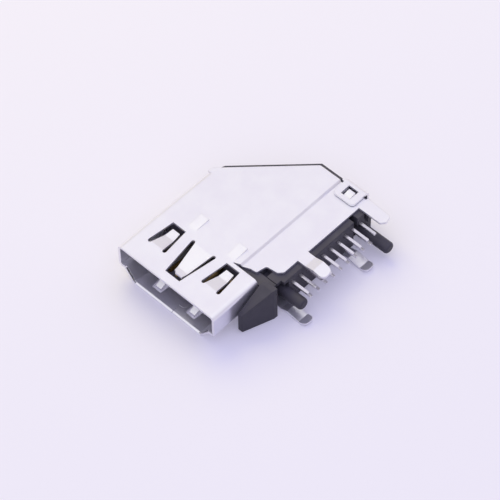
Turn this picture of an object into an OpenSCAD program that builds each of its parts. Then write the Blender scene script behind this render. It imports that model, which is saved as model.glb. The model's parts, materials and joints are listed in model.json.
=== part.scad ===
// Edge-standing through-hole socket for a 19-contact audio-video plug, lying on its side.
// X points to the circuit board, Y runs from the mouth to the back, Z is normal to the wide face.

/* [Mouth] */
// Width of the plug opening, between the side walls
mouth_w = 14.0; // [13.8:0.05:14.3]
// Height of the plug opening, between the top and bottom walls
mouth_h = 4.55; // [4.45:0.05:4.75]
// Length of the closed mouth tube
mouth_d = 6.9; // [6.6:0.1:8.2]
// Height of the straight part of each side wall
side_h = 2.8; // [2.4:0.05:3]
// Step inward at the foot of each straight side
ledge = 0.65; // [0.6:0.05:0.9]
// Inward run of the slanted part of each side
slant_w = 1.3; // [0.9:0.05:1.5]
// Length of the coined lead-in along the bottom lip
lip_in = 0.2; // [0.1:0.05:0.4]
// Depth of the coined lead-in at the edge
lip_cut = 0.14; // [0.06:0.02:0.2]

/* [Sheet metal] */
// Thickness of both stamped sheets
sheet = 0.3; // [0.25:0.01:0.32]
// Outside radius of the long folds
fold_r = 0.6; // [0.5:0.05:0.8]
// Width of the pierced slots round the springs
slot_w = 0.48; // [0.36:0.02:0.54]
// Width of the hairline joint under the mouth
seam_w = 0.06; // [0.04:0.01:0.1]
// Distance from the mouth centre to the joint
seam_x = 0.75; // [0.6:0.05:0.85]
// Distance from the mouth to the locking tab of the joint
seam_y = 1.15; // [1:0.05:1.4]
// Radius of the locking tab of the joint
seam_r = 0.7; // [0.6:0.05:0.72]

/* [Top sheet] */
// Distance from the mouth to the back edge of the top sheet
top_l = 23.4; // [23.2:0.1:25]
// Distance from the mouth to the start of the slanted corner
corner_y = 14.85; // [14:0.05:15.2]
// Distance from the mouth centre to the end of the slanted corner
corner_x = 1.35; // [0.8:0.05:1.8]
// Distance from the mouth centre to the board-side edge of the top sheet
edge_x = 8.4; // [8.2:0.05:8.7]
// Distance from the mouth centre to the step in the top sheet
step_x = 4.3; // [4.1:0.05:4.6]
// Drop of the step, room for the strap that lies over it
step_d = 0.3; // [0.25:0.01:0.32]
// Slope length of the step
step_run = 0.2; // [0.15:0.05:0.4]
// Distance from the mouth centre to the inner end of the side slot
slot_x = 3.7; // [3.4:0.05:3.9]
// Distance from the mouth to the notch in the front of the board-side sheet
notch_y = 9.15; // [8.8:0.05:9.4]
// Distance from the mouth centre to each raised stop tab
stop_x = 2.95; // [2.7:0.05:3.2]
// Distance from the mouth to the root of the stop tabs
stop_y = 7.15; // [7:0.05:7.6]
// Length of each raised stop tab
stop_l = 2.1; // [1.6:0.1:2.6]
// Width of each raised stop tab on the top sheet
stop_w = 1.2; // [0.8:0.1:1.6]
// Height of the raised end of each stop tab
stop_rise = 0.22; // [0.1:0.02:0.3]

/* [Springs] */
// Distance from the mouth centre to each side spring
side_spring_x = 4.1; // [3.9:0.05:4.3]
// Distance from the mouth to the root of the side springs
side_spring_y = 2.9; // [2.7:0.05:3.1]
// Length of the side spring windows
side_spring_l = 3.5; // [3.2:0.05:3.6]
// Width of the side spring windows at the root
side_spring_w = 2.7; // [2.4:0.05:2.9]
// Width of the side spring windows at the free end
side_spring_end = 1.95; // [1.75:0.05:2.15]
// Distance from the mouth to the middle spring window
mid_spring_y = 1.1; // [0.9:0.05:1.3]
// Length of the middle spring window
mid_spring_l = 4.85; // [4.5:0.05:5.2]
// Width of the middle spring window at the root
mid_spring_w = 3.6; // [3.2:0.1:3.8]
// Width of the middle spring window at the free end
mid_spring_end = 2.15; // [1.9:0.05:2.4]
// Set-back of a side spring's free end from its window
spring_end_gap = 0.5; // [0.35:0.05:0.65]
// How far the side springs dip into the mouth
spring_dip = 0.45; // [0.3:0.05:0.6]
// Set-back of the middle spring's free end from its window
mid_spring_gap = 0.8; // [0.5:0.05:1]
// How far the middle spring dips into the mouth
mid_spring_dip = 0.6; // [0.4:0.05:0.75]
// Distance from the mouth centre to each bottom spring
low_spring_x = 2.6; // [2.4:0.05:2.9]
// Distance from the mouth to the bottom spring windows
low_spring_y = 0.95; // [0.8:0.05:1.1]
// Length of the bottom spring windows
low_spring_l = 4.65; // [4.2:0.05:5]
// Width of the bottom spring windows at the root
low_spring_w = 1.9; // [1.7:0.05:2.1]
// Width of the bottom spring windows at the free end
low_spring_end = 1.35; // [1.25:0.05:1.5]
// How far the bottom springs rise into the mouth
low_spring_rise = 0.55; // [0.3:0.05:0.65]
// Width of the pierced slots round the bottom springs
low_slot_w = 0.3; // [0.24:0.02:0.4]
// Length of the slanted free end of the bottom springs
low_spring_nose = 0.95; // [0.7:0.05:1.1]

/* [Legs] */
// Width of the top shield legs
leg_w = 1.65; // [1.4:0.05:1.8]
// Width of the bottom shield legs
low_leg_w = 1.45; // [1.3:0.05:1.6]
// Reach of the top legs past the seat
leg_l = 2.6; // [2.4:0.1:3.2]
// Reach of the bottom legs past the seat
low_leg_l = 3.35; // [3:0.05:3.6]
// Sideways kink of the board-gripping legs
leg_kink = 0.28; // [0.15:0.02:0.4]
// Distance from the mouth to the middle of the front top leg
leg_y = 12.9; // [12.6:0.05:13.2]
// Distance between the two legs of one row
leg_pitch = 9.95; // [9.8:0.05:10]
// Forward shift of the bottom leg row
leg_shift = 3.65; // [3.5:0.05:3.8]

/* [Rear shield] */
// Set-in of the strap from the board-side edge
strap_in = 0.5; // [0.4:0.05:0.6]
// Width of the strap folded over the top sheet
strap_w = 3.05; // [2.8:0.05:3.1]
// Reach of the strap over the top sheet
strap_l = 2.75; // [2.6:0.05:3]
// Corner radius of the strap's free end
strap_r = 0.5; // [0.3:0.05:0.6]
// Width of the square latch window in the strap
latch_w = 1.4; // [1.3:0.05:1.5]
// Width of the cut round the latch tab in the top sheet
latch_cut = 0.24; // [0.2:0.02:0.3]
// Gap under the strap, where it springs clear of the top sheet
strap_gap = 0.08; // [0.04:0.01:0.12]

/* [Housing] */
// How far the plastic stands out past the slanted and back edges of the top sheet
rim = 0.5; // [0.36:0.02:0.6]
// Distance from the mouth centre to the board seat
seat_x = 9.5; // [9.3:0.05:9.8]
// Set-back of the tail face behind the seat
wash_gap = 0.3; // [0.2:0.05:0.4]
// Length of the guide wedge beside the mouth
wedge_l = 3.9; // [3:0.1:4.6]
// Gap between the side wall of the mouth and the guide wedge
wedge_gap = 0.38; // [0.3:0.02:0.5]
// Width of the wedge's front end
wedge_nose = 0.55; // [0.45:0.05:0.8]
// Width of the wedge's flat on the board seat
wedge_flat = 0.5; // [0.3:0.05:0.7]
// Thickness of the tongue
tongue_t = 1.3; // [1.2:0.02:1.4]
// Width of the tongue
tongue_w = 11.2; // [10.8:0.1:11.6]
// Set-back of the tongue tip behind the mouth
tongue_in = 1.6; // [1.3:0.1:2]
// Height of the middle of the tongue
tongue_z = 2.95; // [2.8:0.05:3.05]
// Depth of the tail guide block
guide_d = 3.0; // [2.7:0.1:3.3]
// Plastic round the pegs at the ends of the tail guide
guide_end = 0.4; // [0.3:0.05:0.5]
// Width of the seat rib at the back of the tail guide
guide_rib = 0.9; // [0.7:0.05:1]
// Width of the slit beside the seat rib
rib_slit = 0.3; // [0.2:0.05:0.4]
// How far the plastic stands out past the board-side edge of the top sheet
board_rim = 0.35; // [0.2:0.05:0.45]
// Thickness of the plastic lip over the front pocket
lip_t = 0.45; // [0.35:0.05:0.6]
// Width of the core notch in the front corner of the tail guide
notch_w = 0.9; // [0.7:0.05:0.95]
// Set-in of the core notch from the inner side of the tail guide
notch_in = 0.16; // [0.12:0.02:0.24]
// Depth of the core notch
notch_d = 0.8; // [0.5:0.05:0.85]

/* [Contacts] */
// Spacing of the contacts across the tongue
contact_p = 1.0; // [0.98:0.01:1.02]
// Width of each contact strip
contact_w = 0.45; // [0.4:0.01:0.5]
// Thickness of the contact strip
contact_t = 0.2; // [0.16:0.01:0.22]
// Spacing of the tails along the board edge
tail_p = 1.22; // [1.19:0.01:1.24]
// Width of each tail
tail_w = 0.34; // [0.3:0.01:0.42]
// Distance from the mouth to the first tail
tail_y = 10.3; // [10.1:0.05:10.5]
// Reach of the tails past the seat
tail_l = 2.1; // [1.8:0.05:2.6]
// Length of the tapered tail tips
tail_tip = 0.15; // [0.1:0.05:0.3]
// Set-back of the contacts from the tongue tip
contact_in = 0.5; // [0.4:0.05:0.8]
// How far the contacts stand out of the tongue
contact_out = 0.05; // [0.02:0.01:0.08]
// Space between the outermost contact and the slanted edge of the top sheet
lead_edge = 1.35; // [1.2:0.05:1.5]
// Length of the slanted run of the innermost contact
lead_bend = 0.6; // [0.4:0.05:0.8]

/* [Pegs] */
// Diameter of the board pegs
peg_d = 1.45; // [1.3:0.05:1.5]
// Reach of the front peg past the seat
front_peg_l = 2.3; // [1.8:0.05:2.6]
// Reach of the rear peg past the seat
rear_peg_l = 3.7; // [3.3:0.05:4.2]
// Height of the front peg
front_peg_z = 2.36; // [2.2:0.02:2.5]
// Height of the rear peg
rear_peg_z = 1.62; // [1.5:0.02:1.8]
// Distance from the first tail to the front peg
front_peg_off = 0.83; // [0.7:0.01:0.9]
// Distance from the last tail to the rear peg
rear_peg_off = 0.7; // [0.6:0.01:0.8]
// Depth of the core pockets beside the pegs
peg_pocket = 1.8; // [1.4:0.1:2]
// Room kept round the rear peg under the seat rib
peg_room = 0.6; // [0.5:0.05:0.8]
// Widening of the pegs from the tail face to their roots in the pockets
peg_draft = 0.08; // [0.04:0.01:0.1]

/* [Clearances] */
// Gap between sheet metal and plastic
plastic_gap = 0.05; // [0.03:0.01:0.08]
// Gap round each contact in its channel
contact_gap = 0.03; // [0.02:0.005:0.05]
// Gap between the two plastic pieces
block_gap = 0.08; // [0.05:0.01:0.12]

/* [Hidden] */
$fn = 48;

eps = 0.01;
root2 = sqrt(2);
tin = [0.86, 0.85, 0.88];
black = [0.09, 0.09, 0.1];
plated = [0.8, 0.78, 0.74];

// Mouth section
wi = mouth_w / 2;
wo = wi + sheet;
shell_h = mouth_h + 2 * sheet;
top_in = shell_h - sheet;
ledge_in = top_in - side_h;
ledge_out = ledge_in - sheet;
slant_h = ledge_in - sheet;
slant_l = norm([slant_w, slant_h]);
slant_a = atan2(slant_h, slant_w);
lx_in = wi - ledge;
bx_in = lx_in - slant_w;
slant_off = sheet * slant_l / slant_h;
lx_out = lx_in + slant_off - sheet * slant_w / slant_h;
bx_out = bx_in + slant_off - sheet * slant_w / slant_h;

// Top sheet
low_top = shell_h - step_d;
low_in = low_top - sheet;

// Slanted corner: direction of the edge, and where a line set out by g crosses a given y or x
slant_e = unit([corner_x + wo, top_l - corner_y]);
function slant_x(y, g) = corner_x + (y - top_l) * slant_e[0] / slant_e[1] - g / slant_e[1];
function slant_y(x, g) = top_l + (x - corner_x + g / slant_e[1]) * slant_e[1] / slant_e[0];

// Strap and back of the plastic
back_y = top_l + rim;
strap_in_r = 3 * plastic_gap;
strap_y = back_y + plastic_gap + sheet;
strap_x = edge_x - strap_in - strap_w;
latch_x = strap_x + strap_w / 2 - latch_w / 2;
latch_y = strap_y - strap_l / 2 - strap_in_r;
strap_z = low_top + strap_gap;

// Plastic
face_x = seat_x - wash_gap;
block_x = face_x - guide_d;
body_bottom = sheet + plastic_gap;
body_top = top_in - plastic_gap;
body_low_top = low_in - plastic_gap;
body_x = -wi + plastic_gap;
last_tail_y = tail_y + 9 * tail_p;
front_peg_y = tail_y - front_peg_off;
rear_peg_y = last_tail_y + rear_peg_off;
guide_y0 = front_peg_y - peg_d / 2 - guide_end;
rib_y = rear_peg_y + peg_d / 4;
guide_y1 = rib_y + guide_rib;
rib_z = rear_peg_z + peg_d / 2 + peg_room;
lip_x = edge_x + board_rim;
lip_z = body_low_top - lip_t;
pocket_x = face_x - peg_pocket;
peg_bury = peg_d / 5;
wedge_x = wo + wedge_gap;
wedge_y1 = mouth_d + 0.75;
wedge_y0 = wedge_y1 - wedge_flat - wedge_l;

// Contacts
upper_z = tongue_z + tongue_t / 2 - contact_t + contact_out;
lower_z = tongue_z - tongue_t / 2 - contact_out;
contact_y = tongue_in + contact_in;
diag_out = min(corner_y + wo, top_l - corner_x) - lead_edge * root2;
diag_in = tail_y - 4.5 * contact_p - lead_bend;
diag_p = (diag_out - diag_in) / 9;

// Spring windows, root and free end
side_y0 = side_spring_y;
side_y1 = side_spring_y + side_spring_l;
mid_y0 = mid_spring_y + mid_spring_l;
mid_y1 = mid_spring_y;
low_y0 = low_spring_y + low_spring_l;
low_y1 = low_spring_y;
stop_y1 = stop_y + stop_l;

// Overall box, used to put the origin under the middle
x_min = -wo;
x_max = seat_x + rear_peg_l;
y_max = strap_y;

function unit(v) = v / norm(v);
function half_angle(a, b, c) = acos(unit(a - b) * unit(c - b)) / 2;
function turn(a, b, c) = (b[0] - a[0]) * (c[1] - b[1]) - (b[1] - a[1]) * (c[0] - b[0]);
function mirrored(p) = concat(p, [for (i = [len(p) - 1:-1:0]) [-p[i][0], p[i][1]]]);
function twice(r) = concat(r, [for (i = [len(r) - 1:-1:0]) r[i]]);

// Polygon with true rounded corners, points listed anticlockwise
module rounded(p, r) {
  n = len(p);
  difference() {
    union() {
      polygon([
        for (i = [0:n - 1])
          let (a = p[(i + n - 1) % n], b = p[i], c = p[(i + 1) % n])
          let (d = r[i] > 0 ? r[i] / tan(half_angle(a, b, c)) : 0)
          each (r[i] > 0 ? [b + unit(a - b) * d, b + unit(c - b) * d] : [b])
      ]);
      for (i = [0:n - 1])
        corner_disc(p, r, i, 1);
    }
    for (i = [0:n - 1])
      corner_disc(p, r, i, -1);
  }
}

// Disc that rounds one corner, drawn only when the corner turns the given way
module corner_disc(p, r, i, way) {
  n = len(p);
  a = p[(i + n - 1) % n];
  b = p[i];
  c = p[(i + 1) % n];
  if (r[i] > 0 && turn(a, b, c) * way > 0)
    translate(b + unit(unit(a - b) + unit(c - b)) * r[i] / sin(half_angle(a, b, c)))
      circle(r[i]);
}

// Section in X and Z, run from y0 to y1
module along_y(y0, y1) {
  translate([0, y1, 0])
    rotate([90, 0, 0])
      linear_extrude(y1 - y0)
        children();
}

// Section in Y and Z, run from x0 to x1
module along_x(x0, x1) {
  translate([x0, 0, 0])
    rotate([90, 0, 90])
      linear_extrude(x1 - x0)
        children();
}

// Outline in X and Y, run from z0 to z1
module along_z(z0, z1) {
  translate([0, 0, z0])
    linear_extrude(z1 - z0)
      children();
}

module box(a, b) {
  translate(a)
    cube(b - a);
}

// Whole model with its origin under the middle of its box
module placed() {
  translate([-(x_min + x_max) / 2, -y_max / 2, 0])
    children();
}

// Mouth section, outer or inner line
module mouth_outer() {
  rounded(
    mirrored([[bx_out, 0], [lx_out, ledge_out], [wo, ledge_out], [wo, shell_h]]),
    twice([fold_r, 0.15, 0.4, fold_r])
  );
}

module mouth_inner() {
  rounded(
    mirrored([[bx_in, sheet], [lx_in, ledge_in], [wi, ledge_in], [wi, top_in]]),
    twice([fold_r - sheet, 0.35, 0.12, fold_r - sheet])
  );
}

// Trapezoid slot outline round a spring, root at y0 and free end at y1
module spring_window(y0, w0, y1, w1, slot) {
  polygon([[-w0 / 2, y0], [w0 / 2, y0], [w1 / 2, y1], [-w1 / 2, y1]]);
  for (s = [-1, 1])
    translate([s * (w0 - slot) / 2, y0])
      circle(slot * 0.47);
}

// Plan outline of a spring inside its window, with the free end set back
module spring_plan(y0, w0, y1, w1, slot, over) {
  polygon([
    [-w0 / 2 + slot, y0 - over],
    [w0 / 2 - slot, y0 - over],
    [w0 / 2 - slot, y0],
    [w1 / 2 - slot * 0.92, y1],
    [-w1 / 2 + slot * 0.92, y1],
    [-w0 / 2 + slot, y0]
  ]);
}

// Side spring: root at the front, dips, then a level pad at the free end
module side_spring() {
  intersection() {
    along_z(0, shell_h + 1)
      spring_plan(side_y0, side_spring_w, side_y1 - spring_end_gap, side_spring_end, slot_w, 0.3);
    along_x(-3, 3)
      polygon([
        [side_y0 - 0.3, top_in],
        [side_y0, top_in],
        [side_y0 + 1.85, top_in - spring_dip],
        [side_y1 - spring_end_gap, top_in - spring_dip + 0.08],
        [side_y1 - spring_end_gap, shell_h - spring_dip + 0.08],
        [side_y0 + 1.85, shell_h - spring_dip],
        [side_y0, shell_h],
        [side_y0 - 0.3, shell_h]
      ]);
  }
}

// Middle spring: root at the back, dips toward the mouth, lip turned up
module mid_spring() {
  intersection() {
    along_z(0, shell_h + 1)
      difference() {
        mirror([0, 1])
          spring_plan(-mid_y0, mid_spring_w, -mid_y1 - mid_spring_gap, mid_spring_end, slot_w, 0.3);
        translate([-mid_spring_end / 2 + slot_w, mid_y1 + mid_spring_gap])
          circle(0.22);
      }
    along_x(-3, 3)
      polygon([
        [mid_y0 + 0.3, shell_h],
        [mid_y0, shell_h],
        [mid_y1 + 1.6, shell_h - mid_spring_dip],
        [mid_y1 + mid_spring_gap, shell_h - mid_spring_dip + 0.1],
        [mid_y1 + mid_spring_gap, top_in - mid_spring_dip + 0.1],
        [mid_y1 + 1.6, top_in - mid_spring_dip],
        [mid_y0, top_in],
        [mid_y0 + 0.3, top_in]
      ]);
  }
}

// Bottom spring: root at the back, rises toward the mouth, free end slants down as a lead-in
module low_spring() {
  end_y = low_y1 + 0.35;
  crest_y = end_y + low_spring_nose;
  end_z = low_spring_rise - low_spring_nose / 2;
  intersection() {
    along_z(-1, 2)
      mirror([0, 1])
        spring_plan(-low_y0, low_spring_w, -end_y, low_spring_end, low_slot_w, 0.3);
    along_x(-3, 3)
      polygon([
        [low_y0 + 0.3, sheet],
        [low_y0, sheet],
        [crest_y, sheet + low_spring_rise],
        [end_y, sheet + end_z],
        [end_y, end_z],
        [crest_y, low_spring_rise],
        [low_y0, 0],
        [low_y0 + 0.3, 0]
      ]);
  }
}

// Joint line under the mouth, with a round locking tab
module seam_line() {
  y = seam_y + seam_r;
  difference() {
    union() {
      translate([seam_x - seam_w / 2, -eps])
        square([seam_w, mouth_d + 2 * eps]);
      translate([seam_x + seam_r * 0.3, y])
        circle(seam_r + seam_w / 2);
    }
    translate([seam_x + seam_r * 0.3, y])
      circle(seam_r - seam_w / 2);
    translate([seam_x - seam_w / 2 - 2, -1])
      square([2, mouth_d + 2]);
  }
}

// Coined bevel inside the lip, along the bottom wall and up both slanted walls
module lead_in() {
  over = lip_cut * tan(slant_a / 2) + sheet / 10;
  translate([0, 0, sheet])
    along_x(-bx_in - over, bx_in + over)
      lead_in_section();
  for (s = [0, 1])
    mirror([s, 0, 0])
      translate([bx_in, 0, sheet])
        rotate([0, -slant_a, 0])
          along_x(-over, slant_l)
            lead_in_section();
}

module lead_in_section() {
  polygon([[-1, -lip_cut - lip_cut / lip_in], [lip_in, 0], [-1, 0]]);
}

// Folded mouth tube with its windows, springs and joint
module mouth_tube() {
  difference() {
    along_y(0, mouth_d)
      difference() {
        mouth_outer();
        mouth_inner();
      }
    for (s = [-1, 1])
      translate([s * side_spring_x, 0, 0])
        along_z(top_in - 0.2, shell_h + 0.2)
          spring_window(side_y0, side_spring_w, side_y1, side_spring_end, slot_w);
    along_z(top_in - 0.2, shell_h + 0.2)
      mirror([0, 1])
        spring_window(-mid_y0, mid_spring_w, -mid_y1, mid_spring_end, slot_w);
    for (s = [-1, 1])
      translate([s * low_spring_x, 0, 0])
        along_z(-0.2, sheet + 0.2)
          mirror([0, 1])
            spring_window(-low_y0, low_spring_w, -low_y1, low_spring_end, low_slot_w);
    along_z(-0.2, sheet + 0.2)
      seam_line();
    lead_in();
  }
  for (s = [-1, 1])
    translate([s * side_spring_x, 0, 0])
      side_spring();
  mid_spring();
  for (s = [-1, 1])
    translate([s * low_spring_x, 0, 0])
      low_spring();
}

// Plan of the top sheet behind the mouth tube
module top_plan() {
  rounded(
    [
      [-wo + fold_r, mouth_d - 0.2],
      [slot_x - 0.25, mouth_d - 0.2],
      [slot_x - 0.05, mouth_d + 0.1],
      [slot_x + 1.7, mouth_d + 0.85],
      [slot_x + 2.5, mouth_d + 0.95],
      [slot_x + 2.75, notch_y],
      [slot_x + 4.2, notch_y + 0.2],
      [edge_x, notch_y + 0.75],
      [edge_x, top_l],
      [corner_x, top_l],
      [-wo, corner_y],
      [-wo, corner_y - fold_r],
      [-wo + fold_r, corner_y - fold_r]
    ],
    [0, 0, 0, 0.4, 0.3, 0.35, 0.3, 0.5, 0, 0.3, 0, 0, 0]
  );
}

// Stepped section of the top sheet
module top_section() {
  polygon([
    [-wo, top_in],
    [step_x, top_in],
    [step_x + step_run, low_in],
    [edge_x + 1, low_in],
    [edge_x + 1, low_top],
    [step_x + step_run, low_top],
    [step_x, shell_h],
    [-wo, shell_h]
  ]);
}

// Left wall behind the mouth tube, folded down from the top sheet
module left_wall() {
  along_y(mouth_d - 0.2, corner_y)
    difference() {
      rounded(
        [[-wo, body_bottom], [-wo + 1, body_bottom], [-wo + 1, shell_h], [-wo, shell_h]],
        [0, 0, 0, fold_r]
      );
      rounded(
        [[-wi, body_bottom - 1], [-wi + 2, body_bottom - 1], [-wi + 2, top_in], [-wi, top_in]],
        [0, 0, 0, fold_r - sheet]
      );
    }
}

// Hollow under a stop tab, where the half-sheared metal has moved up
module stop_hollow(x) {
  translate([x, 0, 0])
    along_x(-stop_w / 2 + sheet / 3, stop_w / 2 - sheet / 3)
      polygon([[stop_y, top_in - 1], [stop_y1, top_in - 1], [stop_y1, top_in + stop_rise / 2], [stop_y, top_in]]);
}

// Half-sheared stop tab, root toward the mouth
module stop_tab(x) {
  translate([x, 0, 0])
    along_x(-stop_w / 2, stop_w / 2)
      polygon([
        [stop_y, shell_h - sheet / 3], [stop_y1, shell_h - sheet / 3],
        [stop_y1, shell_h + stop_rise], [stop_y, shell_h]
      ]);
}

// Cut in the top sheet along two sides of the latch tab
module latch_slots() {
  along_z(low_in - 0.2, low_top + 0.2)
    translate([latch_x, latch_y - latch_w / 2])
      difference() {
        square(latch_w);
        translate([latch_cut, -eps])
          square([latch_w, latch_w - latch_cut]);
      }
}

// Latch tab pushed up from the top sheet into the strap window
module latch_tab() {
  y0 = latch_y - latch_w / 2 + plastic_gap;
  y1 = latch_y + latch_w / 2 - latch_cut;
  translate([latch_x, 0, 0])
    along_x(latch_cut, latch_w - latch_cut)
      polygon([
        [y0, low_top - sheet / 2], [y1, low_top - sheet / 2],
        [y1, low_top + sheet * 0.6], [y1 - latch_cut, low_top + sheet * 0.6], [y0, low_top]
      ]);
}

// Plan of a leg with a blunt rounded tip, middle at y
module leg_plan(y, w, x0, x1) {
  rounded(
    [[x0, y - w / 2], [x1, y - w / 2], [x1, y + w / 2], [x0, y + w / 2]],
    [0, w * 0.4, w * 0.4, 0]
  );
}

// Leg bent along a line of [x, z] points, the line being its top face
module bent_leg(y, w, line) {
  n = len(line);
  intersection() {
    along_z(-1, shell_h + 1)
      leg_plan(y, w, edge_x - 0.2, line[n - 1][0]);
    along_y(y - w, y + w)
      polygon(concat(line, [for (i = [n - 1:-1:0]) line[i] - [0, sheet]]));
  }
}

// Board-gripping leg of the top sheet, kinked up and down again
module top_leg() {
  bent_leg(leg_y, leg_w, [
    [edge_x - 0.3, low_top],
    [seat_x, low_top],
    [seat_x + leg_l * 0.45, low_top + leg_kink],
    [seat_x + leg_l, low_top]
  ]);
}

// Board-gripping leg of the bottom cover: up past the tail face, down, and up at the tip
module low_leg(y) {
  bent_leg(y, low_leg_w, [
    [edge_x - 0.3, sheet],
    [face_x + plastic_gap, sheet],
    [seat_x + low_leg_l * 0.18, sheet + leg_kink],
    [seat_x + low_leg_l * 0.7, sheet],
    [seat_x + low_leg_l, sheet + leg_kink]
  ]);
}

// Straight leg of the top sheet with one slanted tip corner
module straight_leg() {
  y = leg_y + leg_pitch;
  along_z(low_in, low_top)
    rounded(
      [
        [edge_x - 0.2, y - leg_w / 2],
        [seat_x + leg_l * 0.78, y - leg_w / 2],
        [seat_x + leg_l * 0.95, y - leg_w * 0.1],
        [seat_x + leg_l * 0.86, y + leg_w * 0.4],
        [edge_x + 0.2, y + leg_w / 2],
        [edge_x - 0.2, y + leg_w / 2]
      ],
      [0, 0.25, 0.3, 0.3, 0, 0]
    );
}

module front_shell() {
  color(tin)
    placed()
      union() {
        mouth_tube();
        left_wall();
        difference() {
          intersection() {
            along_z(low_in - 0.5, shell_h + 0.5)
              top_plan();
            along_y(mouth_d - 0.3, top_l + 0.2)
              top_section();
          }
          for (s = [-1, 1])
            stop_hollow(s * stop_x);
          latch_slots();
        }
        for (s = [-1, 1])
          stop_tab(s * stop_x);
        latch_tab();
        top_leg();
        straight_leg();
      }
}

// Plan of the rear shield bottom
module bottom_plan() {
  polygon([
    [body_x, mouth_d + 0.1],
    [wedge_x - plastic_gap, mouth_d + 0.1],
    [wedge_x - plastic_gap, wedge_y1 + plastic_gap],
    [edge_x, wedge_y1 + plastic_gap],
    [edge_x, back_y],
    [slant_x(back_y, rim), back_y],
    [body_x, slant_y(body_x, rim)]
  ]);
}

// Section of the strap: up the back of the housing, then forward over the top sheet
module strap_section() {
  y0 = strap_y - strap_l;
  difference() {
    rounded(
      [[y0, 0], [strap_y, 0], [strap_y, strap_z + sheet], [y0, strap_z + sheet]],
      [0, strap_in_r + sheet, strap_in_r + sheet, 0]
    );
    rounded(
      [[y0 - 1, sheet], [strap_y - sheet, sheet], [strap_y - sheet, strap_z], [y0 - 1, strap_z]],
      [0, strap_in_r, strap_in_r, 0]
    );
  }
}

// Plan of the strap with its free corners rounded
module strap_plan() {
  y0 = strap_y - strap_l;
  rounded(
    [[strap_x, y0], [strap_x + strap_w, y0], [strap_x + strap_w, strap_y + 1], [strap_x, strap_y + 1]],
    [strap_r, strap_r, 0, 0]
  );
}

module rear_shield() {
  color(tin)
    placed()
      union() {
        along_z(0, sheet)
          bottom_plan();
        difference() {
          intersection() {
            along_x(strap_x, strap_x + strap_w)
              strap_section();
            along_z(-1, shell_h + 1)
              strap_plan();
          }
          along_z(strap_z - 0.2, strap_z + sheet + 0.2)
            translate([latch_x, latch_y - latch_w / 2])
              square(latch_w);
        }
        for (k = [0, 1])
          low_leg(leg_y - leg_shift + k * leg_pitch);
      }
}

// Path points of one contact: straight run, slanted run, tail
function strip_line(x, y, c, w, t, side) = [
  [x + side * w / 2, x + side * w / 2 + c - side * w / root2],
  [y - side * t / 2 - c + side * w / root2, y - side * t / 2]
];

// Outline of one contact strip with a tapered tip, grown all round by g
module strip_plan(x, y, c, tip, y0, g) {
  w = contact_w + 2 * g;
  t = tail_w + 2 * g;
  l = strip_line(x, y, c, w, t, -1);
  r = strip_line(x, y, c, w, t, 1);
  polygon([
    [x - w / 2, y0 + 0.1], [x - w / 2 + 0.1, y0], [x + w / 2 - 0.1, y0], [x + w / 2, y0 + 0.1],
    r[0], r[1],
    [tip - tail_tip, y - t / 2], [tip, y - t * 0.36], [tip, y + t * 0.36], [tip - tail_tip, y + t / 2],
    l[1], l[0]
  ]);
}

// Upper contact k counts from the board side
module upper_plan(k, tip, y0, g) {
  strip_plan((4.5 - k) * contact_p, tail_y + k * tail_p, diag_in + k * diag_p, tip, y0, g);
}

module lower_plan(k, tip, y0, g) {
  strip_plan(
    (4 - k) * contact_p, tail_y + (k + 0.5) * tail_p, diag_in + (k + 0.5) * diag_p, tip, y0, g
  );
}

module upper_contact(k) {
  color(plated)
    placed()
      along_z(upper_z, upper_z + contact_t)
        upper_plan(k, seat_x + tail_l, contact_y, 0);
}

module lower_contact(k) {
  color(plated)
    placed()
      along_z(lower_z, lower_z + contact_t)
        lower_plan(k, seat_x + tail_l, contact_y, 0);
}

// Channels for all contacts, open on the tongue faces
module channels() {
  g = contact_gap;
  for (k = [0:9])
    along_z(upper_z - g, upper_z + contact_t + g)
      upper_plan(k, seat_x + 1, contact_y - g, g);
  for (k = [0:8])
    along_z(lower_z - g, lower_z + contact_t + g)
      lower_plan(k, seat_x + 1, contact_y - g, g);
}

// Plan of the housing body, a little wider than the top sheet behind the mouth
module body_plan(x1) {
  polygon([
    [body_x, mouth_d], [x1, mouth_d],
    [x1, back_y], [slant_x(back_y, rim), back_y], [body_x, slant_y(body_x, rim)]
  ]);
}

// Wedge arm beside the mouth, its face slanting out to the board seat
module wedge() {
  intersection() {
    along_z(0, shell_h)
      rounded(
        [
          [wedge_x, wedge_y0],
          [wedge_x + wedge_nose, wedge_y0],
          [seat_x, wedge_y1 - wedge_flat],
          [seat_x, wedge_y1],
          [edge_x - 0.5, wedge_y1],
          [wedge_x, mouth_d + 0.4]
        ],
        [0.15, 0.3, 0, 0, 0, 0]
      );
    along_x(wedge_x - 1, seat_x + 1)
      rounded(
        [
          [wedge_y0, 0.2],
          [mouth_d + 1, 0],
          [mouth_d + 1, shell_h - 0.05],
          [mouth_d + 0.1, shell_h - 0.05],
          [wedge_y0, shell_h * 0.6]
        ],
        [0.3, 0, 0, 0.3, 0.3]
      );
  }
}

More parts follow.
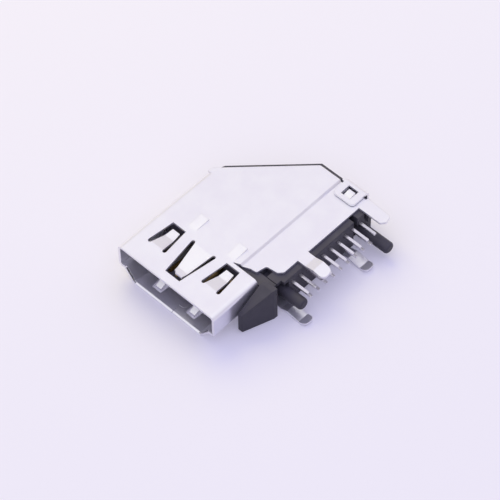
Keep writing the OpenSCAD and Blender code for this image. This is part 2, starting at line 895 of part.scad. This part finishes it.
module housing() {
  y_step = guide_y0 - block_gap;
  color(black)
    placed()
      difference() {
        union() {
          along_y(mouth_d - 0.5, mouth_d + 0.2)
            intersection() {
              mouth_inner();
              translate([-lx_in, sheet + plastic_gap])
                square([2 * lx_in, mouth_h - 2 * plastic_gap]);
            }
          along_z(body_bottom, body_top)
            intersection() {
              body_plan(block_x - block_gap);
              translate([-wi - 1, 0])
                square([wi + 1 + step_x - plastic_gap, y_max]);
            }
          along_z(body_bottom, body_low_top)
            body_plan(block_x - block_gap);
          box([step_x - 1, mouth_d + 0.05, body_bottom], [lip_x, y_step, body_low_top]);
          box([block_x - 1, guide_y1 + block_gap, body_bottom], [edge_x, back_y, body_low_top]);
          wedge();
          along_z(tongue_z - tongue_t / 2, tongue_z + tongue_t / 2)
            rounded(
              [
                [-tongue_w / 2, mouth_d], [-tongue_w / 2, tongue_in],
                [tongue_w / 2, tongue_in], [tongue_w / 2, mouth_d]
              ],
              [0, 0.4, 0.4, 0]
            );
        }
        channels();
        box([pocket_x, wedge_y1, 0], [seat_x + 1, y_step + 1, lip_z]);
        along_y(mouth_d - 1, back_y + 1)
          polygon([
            [body_x - 1, body_top - fold_r + sheet - 1],
            [body_x + fold_r - sheet + 1, body_top + 1],
            [body_x - 1, body_top + 1]
          ]);
      }
}

// Board peg along X, widening to its root behind the tail face, with a rounded end
module peg(y, z, l) {
  x0 = pocket_x - peg_d / 4;
  root = face_x - x0;
  reach = seat_x + l - x0;
  r = peg_d / 2;
  translate([x0, y, z])
    rotate([90, 0, 90])
      rotate_extrude()
        rounded(
          [[0, 0], [r + peg_draft, 0], [r, root], [r, reach], [0, reach]],
          [0, 0, 0, r * 0.48, 0]
        );
}

// Pocket in front of the first tail, open to the board and to the front, under the lip
module front_pocket() {
  box([pocket_x, guide_y0 - 1, 0], [seat_x + 1, front_peg_y + peg_bury, lip_z]);
  box([lip_x, guide_y0 - 1, 0], [seat_x + 1, front_peg_y - peg_d * 0.3, shell_h]);
}

// Pocket between the last two tails that reaches under the last tail to the rear peg
module rear_pocket() {
  y0 = last_tail_y - tail_p + tail_w / 2 + 0.1;
  box([pocket_x, y0, 0], [seat_x + 1, last_tail_y - tail_w / 2 - 0.12, shell_h]);
  box([pocket_x, y0, 0], [seat_x + 1, rear_peg_y - peg_bury, upper_z - 0.2]);
}

// Notch in the front corner of the block, seen through the notch of the top sheet
module core_notch() {
  x0 = block_x + notch_in;
  box([x0, guide_y0 - 1, body_low_top - notch_d], [x0 + notch_w, notch_y + notch_in, shell_h]);
}

module tail_guide() {
  color(black)
    placed()
      difference() {
        union() {
          difference() {
            union() {
              box([block_x, guide_y0, body_bottom], [face_x, guide_y1, body_low_top]);
              box([block_x, rib_y, rib_z], [seat_x, guide_y1, body_low_top]);
            }
            front_pocket();
            rear_pocket();
            core_notch();
            box([edge_x, rib_y - rib_slit, rib_z + 2 * rib_slit], [seat_x + 1, rib_y, shell_h]);
          }
          peg(front_peg_y, front_peg_z, front_peg_l);
          peg(rear_peg_y, rear_peg_z, rear_peg_l);
        }
        channels();
      }
}

module contact_a01() { upper_contact(0); }
module contact_a02() { upper_contact(1); }
module contact_a03() { upper_contact(2); }
module contact_a04() { upper_contact(3); }
module contact_a05() { upper_contact(4); }
module contact_a06() { upper_contact(5); }
module contact_a07() { upper_contact(6); }
module contact_a08() { upper_contact(7); }
module contact_a09() { upper_contact(8); }
module contact_a10() { upper_contact(9); }
module contact_b01() { lower_contact(0); }
module contact_b02() { lower_contact(1); }
module contact_b03() { lower_contact(2); }
module contact_b04() { lower_contact(3); }
module contact_b05() { lower_contact(4); }
module contact_b06() { lower_contact(5); }
module contact_b07() { lower_contact(6); }
module contact_b08() { lower_contact(7); }
module contact_b09() { lower_contact(8); }

front_shell();
rear_shield();
housing();
tail_guide();
contact_a01();
contact_a02();
contact_a03();
contact_a04();
contact_a05();
contact_a06();
contact_a07();
contact_a08();
contact_a09();
contact_a10();
contact_b01();
contact_b02();
contact_b03();
contact_b04();
contact_b05();
contact_b06();
contact_b07();
contact_b08();
contact_b09();
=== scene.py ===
import json
import math

import bpy
from mathutils import Matrix, Vector


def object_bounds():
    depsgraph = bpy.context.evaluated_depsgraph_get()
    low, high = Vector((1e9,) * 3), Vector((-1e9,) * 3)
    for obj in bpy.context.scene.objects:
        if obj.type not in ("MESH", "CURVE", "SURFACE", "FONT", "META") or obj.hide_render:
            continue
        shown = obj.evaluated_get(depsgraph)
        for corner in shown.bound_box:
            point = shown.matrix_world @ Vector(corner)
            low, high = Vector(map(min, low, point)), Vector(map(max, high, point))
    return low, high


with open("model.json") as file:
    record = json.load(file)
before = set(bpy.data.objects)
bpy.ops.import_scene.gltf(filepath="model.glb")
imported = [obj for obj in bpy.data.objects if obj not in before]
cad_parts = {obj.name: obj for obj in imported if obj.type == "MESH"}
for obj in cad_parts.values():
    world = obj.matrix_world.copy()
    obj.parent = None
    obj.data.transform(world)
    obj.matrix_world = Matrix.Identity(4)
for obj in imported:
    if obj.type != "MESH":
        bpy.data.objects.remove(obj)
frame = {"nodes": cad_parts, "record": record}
cadLow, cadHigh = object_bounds()
nodes = frame["nodes"]
mm = 0.001
print("frame loaded,", len(nodes), "CAD nodes")

# sockets of a Mix node that mixes colours; their names would find its plain number sockets
mixFirst, mixSecond, mixResult = 6, 7, 2
noiseSpan = {"From Min": 0.3, "From Max": 0.7}  # most values of a noise texture lie between these


def linear(hexText):
    # sRGB hex to the linear colour that the shaders take
    channels = [int(hexText[i:i + 2], 16) / 255 for i in (0, 2, 4)]
    return [c / 12.92 if c <= 0.04045 else ((c + 0.055) / 1.055) ** 2.4 for c in channels] + [1.0]


def repeats(sizeMm):
    # texture scale of a pattern whose marks have this real size
    return 1 / (sizeMm * mm)


def addNode(tree, kind, values=None, links=None, stops=None, **settings):
    node = tree.nodes.new(kind)
    for name, value in settings.items():
        setattr(node, name, value)
    for socket, value in (values or {}).items():
        node.inputs[socket].default_value = value
    for socket, source in (links or {}).items():
        tree.links.new(source, node.inputs[socket])
    if stops:  # places and hex colours of a colour ramp
        elements = node.color_ramp.elements
        while len(elements) < len(stops):
            elements.new(0.5)  # moved to its own place below
        for element, (place, colour) in zip(elements, stops):
            element.position = place
            element.color = linear(colour)
    return node


def newMaterial(name):
    material = bpy.data.materials.new(name)
    material.use_nodes = True
    tree = material.node_tree
    tree.nodes.clear()
    output = addNode(tree, "ShaderNodeOutputMaterial")
    return material, tree, output


# Tin-plated copper-alloy sheet, cold rolled and then stamped.
# Bright and almost white, softly blurred reflections over a milky scatter, a faint grain along the rolling.
tinPlate = {
    "tones": [(0.35, "F3F1F7"), (0.65, "F7F6FA")],  # dull to bright, in faint clouds
    "metallic": 0.72,  # the rest is the milky scatter of matt tin
    "roughness": (0.28, 0.31),
    "cloudShare": 0.5,  # how far the roughness follows the clouds, the rest follows the grain
    "grainWidthMm": 0.12,  # real rolling lines are about 0.02 mm, drawn coarser so that they show
    "grainLengthMm": 4.0,
    "grainDepthMm": 0.0002,
    "grainNoise": {"Scale": 1.0, "Detail": 2.0, "Roughness": 0.6},  # stretched to size by a mapping
    "cloudMm": 3.0,
    "cloudNoise": {"Detail": 3.0, "Roughness": 0.55},
    "waveMm": 7.0,  # long waves that the press leaves in a flat sheet
    "waveDepthMm": 0.003,
    "waveNoise": {"Detail": 1.0},
    "edgeBreakMm": 0.08,  # a sheared edge rolls over by about 0.05 mm, drawn wider so that it shows
}


def makeTinPlate(name, look):
    material, tree, output = newMaterial(name)
    coord = addNode(tree, "ShaderNodeTexCoord")
    across, along = repeats(look["grainWidthMm"]), repeats(look["grainLengthMm"])
    grainSpace = addNode(
        tree, "ShaderNodeMapping", {"Scale": (across, along, across)}, {"Vector": coord.outputs["Object"]},
    )
    grain = addNode(
        tree, "ShaderNodeTexNoise", look["grainNoise"], {"Vector": grainSpace.outputs["Vector"]},
    )
    cloud = addNode(
        tree, "ShaderNodeTexNoise", {"Scale": repeats(look["cloudMm"]), **look["cloudNoise"]},
        {"Vector": coord.outputs["Object"]},
    )
    wave = addNode(
        tree, "ShaderNodeTexNoise", {"Scale": repeats(look["waveMm"]), **look["waveNoise"]},
        {"Vector": coord.outputs["Object"]},
    )
    tone = addNode(tree, "ShaderNodeValToRGB", None, {"Fac": cloud.outputs["Fac"]}, look["tones"])
    grainPart = addNode(
        tree, "ShaderNodeMath", {1: 1 - look["cloudShare"]}, {0: grain.outputs["Fac"]},
        operation="MULTIPLY",
    )
    unevenness = addNode(
        tree, "ShaderNodeMath", {1: look["cloudShare"]},
        {0: cloud.outputs["Fac"], 2: grainPart.outputs["Value"]}, operation="MULTIPLY_ADD",
    )
    smoothest, roughest = look["roughness"]
    rough = addNode(
        tree, "ShaderNodeMapRange", {**noiseSpan, "To Min": smoothest, "To Max": roughest},
        {"Value": unevenness.outputs["Value"]},
    )
    edge = addNode(tree, "ShaderNodeBevel", {"Radius": look["edgeBreakMm"] * mm})
    waveBump = addNode(
        tree, "ShaderNodeBump", {"Distance": look["waveDepthMm"] * mm},
        {"Height": wave.outputs["Fac"], "Normal": edge.outputs["Normal"]},
    )
    grainBump = addNode(
        tree, "ShaderNodeBump", {"Distance": look["grainDepthMm"] * mm},
        {"Height": grain.outputs["Fac"], "Normal": waveBump.outputs["Normal"]},
    )
    metal = addNode(
        tree, "ShaderNodeBsdfPrincipled", {"Metallic": look["metallic"]},
        {
            "Base Color": tone.outputs["Color"],
            "Roughness": rough.outputs["Result"],
            "Normal": grainBump.outputs["Normal"],
        },
    )
    tree.links.new(metal.outputs["BSDF"], output.inputs["Surface"])
    return material


# Glass-filled high-temperature nylon, injection moulded in a spark-eroded tool.
# Deep grey black, matt, with a fine even pebble that catches a soft sheen.
blackNylon = {
    "tones": [(0.3, "49474E"), (0.75, "57555B")],  # deep to pale, in the flow of the melt
    "roughness": (0.42, 0.56),
    "ior": 1.5,
    "specularLevel": 0.2,  # glass fibres at the skin break up the gloss
    "pebbleMm": 0.10,  # the tool's texture is nearer 0.03 mm, drawn coarser so that it shows
    "pebbleDepthMm": 0.006,
    "pebbleNoise": {"Detail": 2.0, "Roughness": 0.5},
    "flowMm": 2.5,
    "flowNoise": {"Detail": 4.0, "Roughness": 0.6},
    "edgeBreakMm": 0.12,  # small radius of the tool's edges
}


def makeBlackNylon(name, look):
    material, tree, output = newMaterial(name)
    coord = addNode(tree, "ShaderNodeTexCoord")
    pebble = addNode(
        tree, "ShaderNodeTexNoise", {"Scale": repeats(look["pebbleMm"]), **look["pebbleNoise"]},
        {"Vector": coord.outputs["Object"]},
    )
    flow = addNode(
        tree, "ShaderNodeTexNoise", {"Scale": repeats(look["flowMm"]), **look["flowNoise"]},
        {"Vector": coord.outputs["Object"]},
    )
    tone = addNode(tree, "ShaderNodeValToRGB", None, {"Fac": flow.outputs["Fac"]}, look["tones"])
    smoothest, roughest = look["roughness"]
    rough = addNode(
        tree, "ShaderNodeMapRange", {**noiseSpan, "To Min": smoothest, "To Max": roughest},
        {"Value": pebble.outputs["Fac"]},
    )
    edge = addNode(tree, "ShaderNodeBevel", {"Radius": look["edgeBreakMm"] * mm})
    bump = addNode(
        tree, "ShaderNodeBump", {"Distance": look["pebbleDepthMm"] * mm},
        {"Height": pebble.outputs["Fac"], "Normal": edge.outputs["Normal"]},
    )
    plastic = addNode(
        tree, "ShaderNodeBsdfPrincipled", {"IOR": look["ior"], "Specular IOR Level": look["specularLevel"]},
        {
            "Base Color": tone.outputs["Color"],
            "Roughness": rough.outputs["Result"],
            "Normal": bump.outputs["Normal"],
        },
    )
    tree.links.new(plastic.outputs["BSDF"], output.inputs["Surface"])
    return material


# Phosphor bronze strip, blanked, with gold flash on the tongue and bright tin on the tails.
# Warm yellow inside the mouth and silver outside, with a fine grain that softens the shine. The gold is
# drawn darker and browner than real gold flash, as painted shade of the mouth's inside.
contactStrip = {
    # real gold flash, darkened and browned as painted shade of the mouth's inside
    "gold": "8E7850",
    "tin": "E9E6EC",
    "metallic": 1.0,
    "roughness": (0.22, 0.34),
    "goldEndMm": 9.5,  # how far behind the mouth the gold stops
    "fadeMm": 0.8,  # length over which gold gives way to tin
    "grainMm": 0.08,  # grain of the plating, which shows only close up
    "grainDepthMm": 0.002,
    "grainNoise": {"Detail": 2.0},
}


def makeContactStrip(name, look):
    material, tree, output = newMaterial(name)
    coord = addNode(tree, "ShaderNodeTexCoord")
    place = addNode(tree, "ShaderNodeSeparateXYZ", None, {"Vector": coord.outputs["Object"]})
    mouthY = cadLow.y
    plated = addNode(
        tree, "ShaderNodeMapRange",
        {
            "From Min": mouthY + (look["goldEndMm"] - look["fadeMm"]) * mm,
            "From Max": mouthY + look["goldEndMm"] * mm,
        },
        {"Value": place.outputs["Y"]},
    )
    tone = addNode(
        tree, "ShaderNodeMix", {mixFirst: linear(look["gold"]), mixSecond: linear(look["tin"])},
        {"Factor": plated.outputs["Result"]}, data_type="RGBA",
    )
    grain = addNode(
        tree, "ShaderNodeTexNoise", {"Scale": repeats(look["grainMm"]), **look["grainNoise"]},
        {"Vector": coord.outputs["Object"]},
    )
    smoothest, roughest = look["roughness"]
    rough = addNode(
        tree, "ShaderNodeMapRange", {**noiseSpan, "To Min": smoothest, "To Max": roughest},
        {"Value": grain.outputs["Fac"]},
    )
    bump = addNode(
        tree, "ShaderNodeBump", {"Distance": look["grainDepthMm"] * mm}, {"Height": grain.outputs["Fac"]},
    )
    metal = addNode(
        tree, "ShaderNodeBsdfPrincipled", {"Metallic": look["metallic"]},
        {
            "Base Color": tone.outputs[mixResult],
            "Roughness": rough.outputs["Result"],
            "Normal": bump.outputs["Normal"],
        },
    )
    tree.links.new(metal.outputs["BSDF"], output.inputs["Surface"])
    return material


finishes = {
    "tinned_sheet": makeTinPlate("tin_plate_rolled", tinPlate),
    "black_plastic": makeBlackNylon("black_nylon_moulded", blackNylon),
    "contact_strip": makeContactStrip("contact_strip_plated", contactStrip),
}
print("materials made:", ", ".join(finishes))

for part in frame["record"]["subparts"]:
    piece = nodes[part["node"]]
    piece.data.materials.clear()
    piece.data.materials.append(finishes[part["material_slot"]])


# Floor: pale board painted matt, a little lavender where the camera and the tin plate see it.
floorBoard = {
    "colour": "EFEDEF",
    "bounce": "908E90",  # tone that it throws back on the part
    "glow": "E8E4FF",
    "glowShare": 0.22,  # share of the plain pale tone in what is seen, the rest is lit paint
    "sizeMm": 4000,
    "roughness": 0.85,
    "specularLevel": 0.2,
}


def makeFloor(look):
    half = look["sizeMm"] * mm / 2
    corners = [(-half, -half, 0), (half, -half, 0), (half, half, 0), (-half, half, 0)]
    mesh = bpy.data.meshes.new("floor_board")
    mesh.from_pydata(corners, [], [(0, 1, 2, 3)])
    floor = bpy.data.objects.new("floor_board", mesh)
    bpy.context.scene.collection.objects.link(floor)
    material, tree, output = newMaterial("board_painted_matt")
    path = addNode(tree, "ShaderNodeLightPath")
    seen = addNode(
        tree, "ShaderNodeMath", None,
        {0: path.outputs["Is Camera Ray"], 1: path.outputs["Is Glossy Ray"]}, operation="MAXIMUM",
    )
    tone = addNode(
        tree, "ShaderNodeMix", {mixFirst: linear(look["bounce"]), mixSecond: linear(look["colour"])},
        {"Factor": seen.outputs["Value"]}, data_type="RGBA",
    )
    paint = addNode(
        tree, "ShaderNodeBsdfPrincipled",
        {"Roughness": look["roughness"], "Specular IOR Level": look["specularLevel"]},
        {"Base Color": tone.outputs[mixResult]},
    )
    glow = addNode(tree, "ShaderNodeEmission", {"Color": linear(look["glow"])})
    share = addNode(
        tree, "ShaderNodeMath", {1: look["glowShare"]}, {0: seen.outputs["Value"]}, operation="MULTIPLY",
    )
    both = addNode(
        tree, "ShaderNodeMixShader", None,
        {0: share.outputs["Value"], 1: paint.outputs["BSDF"], 2: glow.outputs["Emission"]},
    )
    tree.links.new(both.outputs["Shader"], output.inputs["Surface"])
    mesh.materials.append(material)


makeFloor(floorBoard)
print("floor laid")

# Studio light: a tent that is pale at its roof and dim at its foot, and one large soft box
# high at the left, a little behind the part.
studio = {
    "tent": [(0.0, "50505E"), (1.0, "DAD8FF")],  # foot to roof
    "tentStrength": 1.47,
    # what the camera and the tin plate see of the tent, from its pale foot at the back
    # over a dimmer band to the white roof panel
    "seen": [(0.12, "E8E1DE"), (0.21, "C2BEC8"), (0.40, "DCD7DC"), (0.555, "EEEBFF"), (0.655, "FFFFFF")],
    "roofAzimuthDeg": 30,
    "roofElevationDeg": 70,  # the roof panel leans a little over the mouth and the board side
    "boxColour": "FFF762",
    "boxSizeMm": 300,
    "boxDistanceMm": 420,
    "boxAzimuthDeg": 248,
    "boxElevationDeg": 47,
    "boxStrength": 3.0,  # brightness of its face
}


def direction(azimuthDeg, elevationDeg):
    # from the object toward a light or camera; azimuth 0 is in front of the mouth
    turn, rise = math.radians(azimuthDeg), math.radians(elevationDeg)
    return Vector((math.sin(turn) * math.cos(rise), -math.cos(turn) * math.cos(rise), math.sin(rise)))


def makeStudio(rig):
    world = bpy.data.worlds.new("studio_tent")
    bpy.context.scene.world = world
    world.use_nodes = True
    tree = world.node_tree
    tree.nodes.clear()
    output = addNode(tree, "ShaderNodeOutputWorld")
    path = addNode(tree, "ShaderNodeLightPath")
    coord = addNode(tree, "ShaderNodeTexCoord")
    place = addNode(tree, "ShaderNodeSeparateXYZ", None, {"Vector": coord.outputs["Generated"]})
    cloth = addNode(tree, "ShaderNodeValToRGB", None, {"Fac": place.outputs["Z"]}, rig["tent"])
    tent = addNode(
        tree, "ShaderNodeBackground", {"Strength": rig["tentStrength"]}, {"Color": cloth.outputs["Color"]},
    )
    lean = addNode(
        tree, "ShaderNodeVectorMath", {1: direction(rig["roofAzimuthDeg"], rig["roofElevationDeg"])},
        {0: coord.outputs["Generated"]}, operation="DOT_PRODUCT",
    )
    wall = addNode(tree, "ShaderNodeValToRGB", None, {"Fac": lean.outputs["Value"]}, rig["seen"])
    backdrop = addNode(tree, "ShaderNodeBackground", None, {"Color": wall.outputs["Color"]})
    seen = addNode(
        tree, "ShaderNodeMath", None,
        {0: path.outputs["Is Camera Ray"], 1: path.outputs["Is Glossy Ray"]}, operation="MAXIMUM",
    )
    both = addNode(
        tree, "ShaderNodeMixShader", None,
        {0: seen.outputs["Value"], 1: tent.outputs["Background"], 2: backdrop.outputs["Background"]},
    )
    tree.links.new(both.outputs["Shader"], output.inputs["Surface"])
    lamp = bpy.data.lights.new("soft_box", "AREA")
    lamp.shape = "SQUARE"
    lamp.size = rig["boxSizeMm"] * mm
    lamp.color = linear(rig["boxColour"])[:3]
    lamp.energy = rig["boxStrength"] * math.pi * lamp.size ** 2
    holder = bpy.data.objects.new("soft_box", lamp)
    bpy.context.scene.collection.objects.link(holder)
    toward = direction(rig["boxAzimuthDeg"], rig["boxElevationDeg"])
    holder.location = toward * rig["boxDistanceMm"] * mm
    holder.rotation_mode = "QUATERNION"
    holder.rotation_quaternion = toward.to_track_quat("Z", "Y")
    holder.visible_glossy = False  # the tin plate mirrors the plain tent, not the lamp


makeStudio(studio)
print("studio light set")

# Camera at the photograph's viewing angle, aimed at a point by the middle of the part.
viewCamera = {
    "azimuthDeg": 44.533,
    "elevationDeg": 53.225,
    "rollDeg": -1.19,
    "lensMm": 171.27,
    "sensorMm": 36.0,
    "distanceMm": 263.87,
    "aimMm": (-0.95, -0.125, 2.5),
    "slideMm": (0.559, 0.9),  # how far the part sits right of and above the middle of the view
    "clipMm": (10, 10000),
}


def makeCamera(rig):
    data = bpy.data.cameras.new("view_camera")
    data.lens = rig["lensMm"]
    data.sensor_width = rig["sensorMm"]
    nearest, farthest = rig["clipMm"]
    data.clip_start = nearest * mm
    data.clip_end = farthest * mm
    camera = bpy.data.objects.new("view_camera", data)
    bpy.context.scene.collection.objects.link(camera)
    back = direction(rig["azimuthDeg"], rig["elevationDeg"])
    right = Vector((0, 0, 1)).cross(back).normalized()
    up = back.cross(right)
    roll = math.radians(rig["rollDeg"])
    rolledRight = right * math.cos(roll) + up * math.sin(roll)
    rolledUp = up * math.cos(roll) - right * math.sin(roll)
    slideRight, slideUp = rig["slideMm"]
    place = Vector(rig["aimMm"]) + back * rig["distanceMm"] - rolledRight * slideRight - rolledUp * slideUp
    turn = Matrix((rolledRight, rolledUp, back)).transposed().to_4x4()
    camera.matrix_world = Matrix.Translation(place * mm) @ turn
    bpy.context.scene.camera = camera


makeCamera(viewCamera)
bpy.context.scene.view_settings.view_transform = "Standard"
print("camera set")
